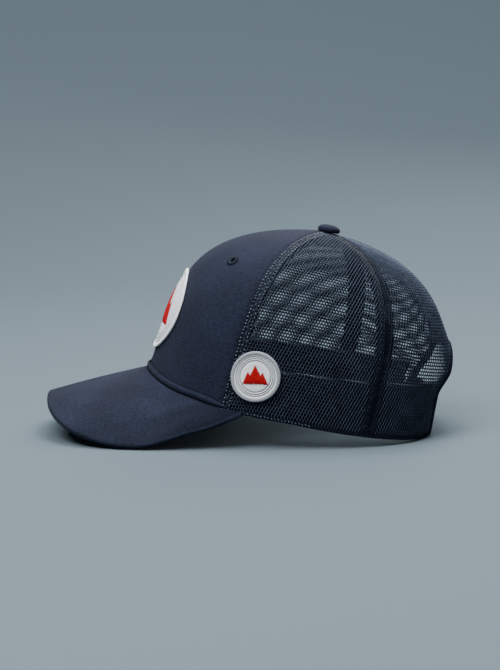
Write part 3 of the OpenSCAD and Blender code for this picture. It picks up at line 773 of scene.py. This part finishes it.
def rounded(half_w, half_h, count=14, power=2.6, centre=(0, 0)):
    """A rounded rectangle's outline."""
    a = 2 * np.pi * (np.arange(count) + 0.5) / count
    x = np.sign(np.cos(a)) * np.abs(np.cos(a)) ** (2 / power) * half_w + centre[0]
    y = np.sign(np.sin(a)) * np.abs(np.sin(a)) ** (2 / power) * half_h + centre[1]
    return list(zip(x, y))


def arch_binding():
    theta, v = arch_at(np.linspace(0, 2, 161))
    v = np.maximum(v, 0.012)
    part = loft_on_crown(theta, v, rounded(3.1, 1.25, centre=(0.4, -0.45)))
    part[0][:, 2] = np.maximum(part[0][:, 2], FLOOR_GAP)
    row = stitches(*line_beside(theta, v, -1.6), 0.72, width=0.45)
    piece("arch_binding", part, DARK_TAPE, "seam_tape")
    piece("arch_stitches", row, NAVY_THREAD, "seam_tape")


def line_beside(theta, v, distance):
    """A line on the crown moved sideways by a distance in mm, in angles."""
    path = crown(theta, v)
    run = unit(np.gradient(path, axis=0))
    side = np.cross(run, outward(theta, v))
    around = crown(theta + 0.5, v) - crown(theta - 0.5, v)
    upward = (crown(theta, v + 0.005) - crown(theta, v - 0.005)) / 0.01
    move = side * distance
    d_theta = (move * around).sum(-1) / (around**2).sum(-1)
    d_v = (move * upward).sum(-1) / (upward**2).sum(-1)
    return theta + d_theta, np.clip(v + d_v, 0, 0.99)


def hems():
    """The net's lower edge, folded over a tape inside, with its stitches."""
    theta = np.linspace(VISOR_END + 1, TAB_FROM + 5, 150)
    profile = [(0.25, 2.0), (0.45, 0.9), (0.2, 0.05), (-0.6, -0.1), (-1.6, 0.05), (-2.0, 1.2), (-2.1, 8.6),
               (-1.5, 9.0), (-1.35, 8.2), (-1.3, 2.4), (-0.9, 1.4), (-0.2, 1.3)]
    sections = np.stack([place(theta, v_of(z), off) for off, z in profile], 1)
    sections[..., 2] = np.maximum(sections[..., 2], FLOOR_GAP)
    part = loft(sections[:, ::-1])
    row = theta * 0 + float(v_of(1.1))
    # The front part of this row is light thread, a painted highlight where the net's folded edge catches the light; the
    # rest of the row, further back, is navy thread.
    light = stitches(theta[:45], row[:45], 0.4, pitch=2.2, length=1.0, width=0.45, slant=0.3, uneven=2)
    faint = stitches(theta[44:], row[44:], 0.4, pitch=2.2, length=1.1, width=0.45, slant=0.35)
    faint[0][:, 2] = np.maximum(faint[0][:, 2], FLOOR_GAP)
    pair("hem", part, DARK_TAPE, "seam_tape")
    pair("hem_stitches", light, SEAM_THREAD_AND_GLINT, "seam_tape")
    pair("hem_back_stitches", faint, NAVY_THREAD, "seam_tape")


def band_top(theta):
    """The band stands higher towards the back."""
    return np.interp(np.abs(theta), [0, 75, 90, 110, 125, 147], [27, 27.6, 29.6, 32, 34, 36])


def sweatband():
    """A padded band inside the crown's edge, with a stitched fold and a light piping along its top."""
    reach = TAB_FROM - 1.5
    theta = np.linspace(-reach, reach, 400)
    share = np.array([0.8, 2, 5, 9, 13, 17, 21, 24.5, 26.2, 27.4, 28.8, 29.7, 30]) / 30
    belly = np.array([4.6, 5.1, 5.55, 5.75, 5.8, 5.8, 5.7, 5.5, 5.1, 5.35, 5.5, 5.2, 4.7])
    inside = list(zip(-belly, share))
    outside = [(-3.9, 0.993), (-3.6, 0.953), (-3.6, 0.67), (-3.6, 0.33), (-3.6, 0.1), (-3.8, 0.033)]
    ripple = 0.07 * np.sin(theta * 2.1) + 0.05 * np.sin(theta * 5.3 + 1)
    top = band_top(theta)
    sections = np.stack([place(theta, v_of(h * top), off + (ripple if off < -4.5 else 0))
                         for off, h in inside + outside], 1)
    made = piece("sweatband", loft(sections), BAND_CLOTH, "sweatband_cloth")
    path, normal = place(theta, v_of(0.873 * top), -5.1), -out(theta, v_of(0.873 * top))
    piece("sweatband_stitches", stitch_row(path, normal, 3.0, 2.2, 0.45, 0.3), SEAM_THREAD_AND_GLINT, "sweatband_cloth")
    edge = [(-3.7 + 0.47 * cos(a), 0.7 * sin(a)) for a in range(0, 360, 45)]
    sections = np.stack([place(theta, v_of(top + h), off) for off, h in edge], 1)
    piece("sweatband_piping", loft(sections[:, ::-1]), PIPING, "sweatband_cloth")


def crown_button():
    """A covered button: the cloth is gathered underneath and creased towards the rim."""
    profile = np.array([(0.01, 5.65), (1.8, 5.58), (3.6, 5.35), (5.2, 4.95), (6.4, 4.4), (7.2, 3.7), (7.7, 3.0),
                        (7.8, 2.1), (7.55, 1.0), (6.9, 0.38), (5.2, 0.47), (2.2, 0.5), (2.0, -2.1), (0.01, -2.2)])
    turn = circle(96)
    r, h = profile[:, 0][:, None], profile[:, 1][:, None]
    crease = 0.1 * sin(turn * 11) * ease((r - 4) / 4) * (h < 4)
    x, y = (r + crease) * cos(turn), (r + crease) * sin(turn)
    points = np.stack([x, y * cos(BUTTON_TILT) - h * sin(BUTTON_TILT),
                       y * sin(BUTTON_TILT) + h * cos(BUTTON_TILT) + CROWN_H - BUTTON_DROP], -1)
    sections = stand(points)[::-1]
    piece("crown_button", loft(sections), NAVY_TWILL, "navy_twill", sharp=70)
    profile = rounded(1.85, 0.6, 12, 3.5, (4.15, -4.6))
    rivet = np.array([[(r * cos(a), r * sin(a), h + CROWN_H) for r, h in profile] for a in turn])
    piece("button_rivet", loft(stand(rivet)[::-1], ring=True), METAL, "rivet_metal")


def eyelets():
    """A ring of buttonhole stitches round each hole."""
    v = float(v_of(EYELET_Z))
    middle, normal = place(EYELET_AT, v), out(EYELET_AT, v)
    side = unit(np.cross([0.0, 0.0, 1.0], normal))
    up = np.cross(normal, side)
    turn = circle(34)
    t = np.linspace(-1, 1, 7)
    r = 2.95 + 1.35 * t
    ray = cos(turn)[:, None] * side + sin(turn)[:, None] * up
    lift = 0.25 + 0.5 * (1 - t**2)
    centre = middle + ray[:, None] * r[None, :, None] + normal * lift[None, :, None]
    ring = threads(centre, np.broadcast_to(normal, centre.shape), 0.62, 0.55)
    pair("eyelet", ring, NAVY_THREAD, "navy_twill")


# ---- Visor ----
def visor_rows(s, path):
    """Rows across the visor at a path's t, inset and height, with the free edge first."""
    return np.stack([visor_at(s, t, off, inset) for t, inset, off in path[::-1]])


def visor_face(inset, off, rows=61):
    """The path from the crown to the free edge at one height."""
    return [(t, inset, off) for t in np.linspace(0, 1, rows)]


def visor():
    s = np.linspace(-1, 1, 161)
    rim, thick = 1.3, 0.9
    small = rim - thick
    turn = np.linspace(0, 90, 7)[1:]
    edge = [(1.0, rim * (1 - sin(a)), -rim * (1 - cos(a))) for a in turn] + [(1.0, 0.0, -2.2), (1.0, 0.05, -3.3)]
    edge_in = [(1.0, thick + small * (1 - sin(a)), -thick - small * (1 - cos(a))) for a in turn]
    edge_in += [(1.0, thick, -2.2), (1.0, thick, -3.3)]
    outer = visor_rows(s, visor_face(rim, 0.0) + edge)
    inner = visor_rows(s, visor_face(rim, -thick) + edge_in)
    piece("visor_top_cover", lattice_shell(outer, inner), VISOR_TWILL, "navy_twill")
    lower = visor_rows(s, visor_face(0.55, -VISOR_T) + [(1.0, 0.3, -VISOR_T + 0.2), (1.0, 0.25, -3.42)])
    upper = visor_rows(s, visor_face(0.55, -VISOR_T + thick) + [(1.0, 0.5, -3.41), (1.0, 0.35, -3.4)])
    piece("visor_under_cover", lattice_shell(upper, lower), VISOR_TWILL, "navy_twill")
    top, low = (visor_rows(0.92 * s, visor_face(1.3, off, 31)) for off in (-1.05, -3.25))
    piece("visor_board", lattice_shell(top, low), BOARD, "board_plastic")


def visor_welt():
    """The flat roll where the crown meets the visor, drawn in a little at each stitch, and the row above it."""
    theta = np.linspace(-WELT_END, WELT_END, 280)
    share = mix(0.4, 1, ease((WELT_END - np.abs(theta)) / WELT_FADE))
    pull = 0.05 * sin(theta * 170)
    profile = [(0.25, 0.45), (0.8, 0.4), (1.2, 0.9), (1.45, 1.7), (1.45, 2.5), (1.2, 3.3), (0.8, 3.9), (0.25, 4.2)]
    base, n = crown(theta, 0.0), outward(theta, 0.02)
    up = np.array([0, 0, 1])
    base = base + (VISOR_T * visor_thin(theta / VISOR_END))[:, None] * up
    sections = np.stack([stand(base + mix(0.25, x + pull * (x > 0.5), share)[:, None] * n
                               + mix(0.5, z, share)[:, None] * up) for x, z in profile], 1)
    piece("visor_welt", loft(sections), NAVY_TWILL, "navy_twill")
    v = v_at_height(theta, base[:, 2] + 6.0)
    piece("welt_stitches", stitches(theta, v, 0.05, pitch=2.5, width=0.42, lift=0.3), NAVY_THREAD, "navy_twill")


# ---- Patches ----
def on_patch(patch, x, y, off):
    """A point beside the middle of a patch, in mm, off the crown."""
    v_mid = v_at_height(patch["theta"], patch["z"])
    step = crown(patch["theta"] + 0.5, v_mid) - crown(patch["theta"] - 0.5, v_mid)
    theta = patch["theta"] + x / np.hypot(step[0], step[1])
    return place(theta, v_at_height(theta, patch["z"] + y * patch["lean"]), off)


PEAKS = np.array([(-1, -0.6), (-0.58, 0.42), (-0.4, 0.12), (0, 0.95), (0.42, 0.1), (0.6, 0.35), (1, -0.6)])


def patch_face(patch, grooves):
    """The embroidered face: rings of satin stitches with grooves between them."""
    r = np.concatenate([[0.35], np.arange(0.9, patch["r"] - 1.8, 0.42)])
    turn = circle(240)
    groove = sum(np.exp(-(((r - g) / 0.36) ** 2)) for g in grooves)
    high = 1.35 + 0.12 * np.abs(np.sin(np.pi * r / 3.1)) - 0.75 * groove
    x, y = r[::-1, None] * cos(turn), r[::-1, None] * sin(turn)
    outer, inner = on_patch(patch, x, y, high[::-1, None]), on_patch(patch, x, y, 0.3)
    faces = grid_faces(len(r), len(turn), wrap=True)
    last = (len(r) - 1) * len(turn)
    cap = (last + np.arange(len(turn)))[None]
    thread_x = np.broadcast_to(np.radians(turn) * patch["r"] * 0.8, x.shape)
    cloth = np.stack([thread_x, r[::-1, None] + 0 * x, groove[::-1, None] + 0 * x], -1).reshape(-1, 3)
    return shell(outer.reshape(-1, 3), inner.reshape(-1, 3), [faces, cap], cloth)


def patch_rim(patch):
    """The overlocked border: thread wrapped over the edge, each turn a raised ridge."""
    pitch = 0.95
    wraps = round(2 * math.pi * (patch["r"] - 1.5) / pitch)
    turn = circle(wraps * 6)
    a = np.radians(circle(16))
    ridge = np.abs(np.sin(np.pi * (turn[:, None] / 360 * wraps + 0.35 * np.cos(a)))) ** 0.7 * 0.16
    half_w, half_h = 1.15 + ridge, 0.8 + ridge
    r = patch["r"] - 1.3 + half_w * np.sign(np.cos(a)) * np.abs(np.cos(a)) ** 0.85
    h = 1.2 + half_h * np.sign(np.sin(a)) * np.abs(np.sin(a)) ** 0.85
    sections = on_patch(patch, r * cos(turn)[:, None], r * sin(turn)[:, None], np.maximum(h, 0.3))
    x = np.broadcast_to((turn / 360 * wraps * 0.42)[:, None], r.shape)
    cloth = np.stack([x, np.broadcast_to(a * 1.4, r.shape), 0 * x], -1)
    return loft(sections[::-1], ring=True, cloth=cloth[::-1])


def patch_motif(patch, r, turn):
    """Three peaks in satin stitch: upright threads whose ends are a little uneven."""
    pitch = 0.46
    count = int(2 * r / pitch)
    x = np.linspace(-0.985, 0.985, count) * r
    top = np.interp(x / r, PEAKS[:, 0], PEAKS[:, 1]) * r
    low = np.full(count, -0.6 * r)
    top, low = top + rng.uniform(-0.3, 0.3, count), low + rng.uniform(-0.3, 0.3, count)
    top = np.maximum(top, low + 0.6)
    t = np.linspace(0, 1, 12)
    y = mix(low[:, None], top[:, None], t)
    lift = 1.45 + 0.5 * np.sqrt(np.clip(1 - (2 * t - 1) ** 2, 0, 1)) * np.minimum(1, (top - low) / 5)[:, None]
    x, y = x[:, None] * cos(turn) - y * sin(turn), x[:, None] * sin(turn) + y * cos(turn)
    centre = on_patch(patch, x, y, lift)
    normal = on_patch(patch, x, y, lift + 1) - centre
    return threads(centre, normal, pitch * 1.25, 0.6)


def patches():
    for name, patch, rim, rim_slot, grooves, size, turn in (
        ("front_patch", FRONT_PATCH, WHITE_THREAD, "white_thread", (26.7, 24.2, 21.7), 0.58, 0),
        ("side_patch", SIDE_PATCH, SILVER_THREAD, "silver_thread", (12.9, 11.6, 10.2), 0.5, TILT),
    ):
        piece(name + "_base", patch_face(patch, grooves), WHITE_THREAD, "white_thread")
        piece(name + "_border", patch_rim(patch), rim, rim_slot)
        piece(name + "_motif", patch_motif(patch, patch["r"] * size, turn), RED_THREAD, "red_thread")


# ---- Straps ----
def strap_plate(holes):
    """A flat strap with round edges, in x along it from the hinge and y up from its lower edge."""
    length = HINGE_X + STRAP_REACH
    tab = 17.0
    curve = bpy.data.curves.new("strap", "CURVE")
    curve.dimensions, curve.fill_mode = "2D", "BOTH"
    edge_r = 0.35
    curve.extrude, curve.bevel_depth, curve.bevel_resolution = STRAP_T / 2 - edge_r, edge_r, 3
    curve.offset = -edge_r

    def spline(points):
        made = curve.splines.new("POLY")
        made.points.add(len(points) - 1)
        made.points.foreach_set("co", np.array([(x, y, 0, 1) for x, y in points], np.float32).ravel())
        made.use_cyclic_u = True

    half = STRAP_H / 2
    a = np.linspace(-90, 90, 33)
    spline([(-tab, 0)] + [(length - 6 + 6 * cos(t), half + half * sin(t)) for t in a] + [(-tab, STRAP_H)])
    if holes:
        r = PEG_R + PEG_ROOM
        for x in PEG_X + HINGE_X:
            spline([(x + r * cos(t), half + r * sin(t)) for t in circle(40)[::-1]])
    scratch = add_object("strap", curve)
    mesh = bpy.data.meshes.new_from_object(scratch.evaluated_get(bpy.context.evaluated_depsgraph_get()))
    bpy.data.objects.remove(scratch)
    return cut_across(mesh, np.linspace(-tab + 1.5, 0.5, 12))


def cut_across(mesh, places):
    """Cuts a flat mesh at several x, so that it can bend there, and gives it as a part."""
    work = bmesh.new()
    work.from_mesh(mesh)
    bmesh.ops.remove_doubles(work, verts=work.verts, dist=0.002)
    for x in places:
        bmesh.ops.bisect_plane(work, geom=work.verts[:] + work.edges[:] + work.faces[:], plane_co=(x, 0, 0),
                               plane_no=(1, 0, 0))
    work.verts.index_update()
    points = np.array([v.co for v in work.verts])
    sizes = sorted({len(f.verts) for f in work.faces})
    faces = [np.array([[v.index for v in f.verts] for f in work.faces if len(f.verts) == n]) for n in sizes]
    work.free()
    return points, faces, points.copy()


def straps():
    """Each strap is one moulding: its sewn end follows the crown, bends at the hinge and runs on flat."""
    middle = STRAP_Z + STRAP_H / 2
    theta = np.linspace(TAB_FROM, TAB_TO, 30)
    tab = crown(theta, v_of(middle)) - 2.85 * outward(theta, v_of(middle))
    for name, y, side in (("peg_strap", STRAP_Y, 1), ("hole_strap", HOLE_Y, -1)):
        points, faces, cloth = strap_plate(side < 0)
        path = np.vstack([tab[:-4, :2], [[HINGE_X, y + STRAP_T / 2], [-STRAP_REACH - 1, y + STRAP_T / 2]]])
        *_, hinge_s, total = lengths(path)
        s = points[:, 0] + hinge_s
        at = along(path, np.clip(s, 0, total))
        run = unit(along(path, np.clip(s + 0.4, 0, total)) - along(path, np.clip(s - 0.4, 0, total)))
        normal = np.stack([-run[:, 1], run[:, 0]], -1)
        flat = at + normal * points[:, 2:3] + np.maximum(s - total, 0)[:, None] * run
        dip = -SIDE_DIP * 0.2 * ease(-points[:, 0] / 16)
        body = np.stack([flat[:, 0], flat[:, 1], STRAP_Z + points[:, 1] + dip], -1)
        parts = [(stand(body), faces, cloth)] + (pegs() if side > 0 else [])
        if side < 0:
            parts = [mirrored(part) for part in parts]
        made = piece(name, parts, PLASTIC, "strap_plastic", body=None, replaces=[name + "_tab", name], sharp=40)
        start, stop = (stand(np.array([side * (HINGE_X + dx), y, middle])) * MM for dx in (4.0, -4.0))
        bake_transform(made)


def pegs():
    """Pegs with a domed head and a slight waist, standing out of the strap's outer face."""
    outline = [(0.01, 0), (PEG_R - 0.1, 0), (PEG_R - 0.15, 0.9), (PEG_R - 0.25, STRAP_T + 0.9), (PEG_R - 0.05, 2.75),
               (PEG_R - 0.35, 3.1), (1.0, PEG_H - 0.05), (0.01, PEG_H)]
    middle = STRAP_Z + STRAP_H / 2
    return [loft(stand(np.array([[(x + r * cos(a), STRAP_Y + h, middle + r * sin(a)) for a in circle(32)[::-1]]
                                 for r, h in outline]))) for x in PEG_X]


front_panel()
front_liner()
nets()
tapes()
seam_stitching()
arch_binding()
hems()
sweatband()
crown_button()
eyelets()
visor()
visor_welt()
patches()
straps()


# ---- Floor, light and camera ----
def studio():
    """A pale floor that curves up all round, so that every side has the same plain background."""
    f = Finish("studio_floor", Roughness=0.9, Specular_IOR_Level=0.2)
    speck = f.node("TexNoise", {"Scale": 3.0, "Detail": 2.0}).outputs["Fac"]
    colour = f.blend(speck, (0.0948, 0.1259, 0.1481), (0.1037, 0.1363, 0.1593))
    f.tree.links.new(colour, f.principled.inputs["Base Color"])
    profile = [(r, 0.0) for r in (0.001, 0.3, 0.6, 0.9)]
    profile += [(0.9 + 1.7 * sin(a), 1.7 - 1.7 * cos(a)) for a in range(4, 91, 4)] + [(2.6, 3.2)]
    turn = circle(96)
    points = [(r * cos(a), r * sin(a), h) for r, h in profile for a in turn]
    faces = grid_faces(len(profile), len(turn), wrap=True)
    mesh = bpy.data.meshes.new("studio_floor")
    mesh.from_pydata(points, [], faces.tolist() + [list(range(len(turn)))[::-1]])
    mesh.shade_smooth()
    mesh.materials.append(f.material)
    add_object("studio_floor", mesh)


def light(name, position, target, size, power):
    data = bpy.data.lights.new(name, "AREA")
    data.shape, data.size, data.energy = "DISK", size, power
    aim(add_object(name, data), position, target)


def aim(obj, position, target):
    obj.location = position
    obj.rotation_euler = (Vector(target) - Vector(position)).to_track_quat("-Z", "Y").to_euler()


def camera():
    distance, turn, elevation = 1.1, 4.0, 7.5
    target = np.array([0, 0, 0.0653])
    direction = np.array([cos(turn) * cos(elevation), -sin(turn) * cos(elevation), sin(elevation)])
    data = bpy.data.cameras.new("camera")
    data.lens, data.sensor_width = 84.4, 36.0
    made = add_object("camera", data)
    aim(made, target + distance * direction, target)
    bpy.context.scene.camera = made


studio()
light("key", (0.7, -0.6, 1.3), (0, 0, 0.05), 0.9, 35)
light("top", (-0.1, 0.2, 1.6), (0, 0, 0.05), 1.2, 43)
light("fill", (1.00, 0.55, 1.1), (0, 0, 0.07), 1.0, 4)
light("rim", (-1.1, 0.5, 0.9), (0, 0, 0.08), 0.9, 10)
light("wall", (-0.9, 0.0, 2.2), (-2.5, 0, 0.8), 1.5, 32)
world = bpy.data.worlds.new("studio")
world.use_nodes = True
sky = world.node_tree.nodes["Background"].inputs
sky["Color"].default_value = (0.8, 0.88, 0.95, 1)
sky["Strength"].default_value = 0.05
bpy.context.scene.world = world
camera()
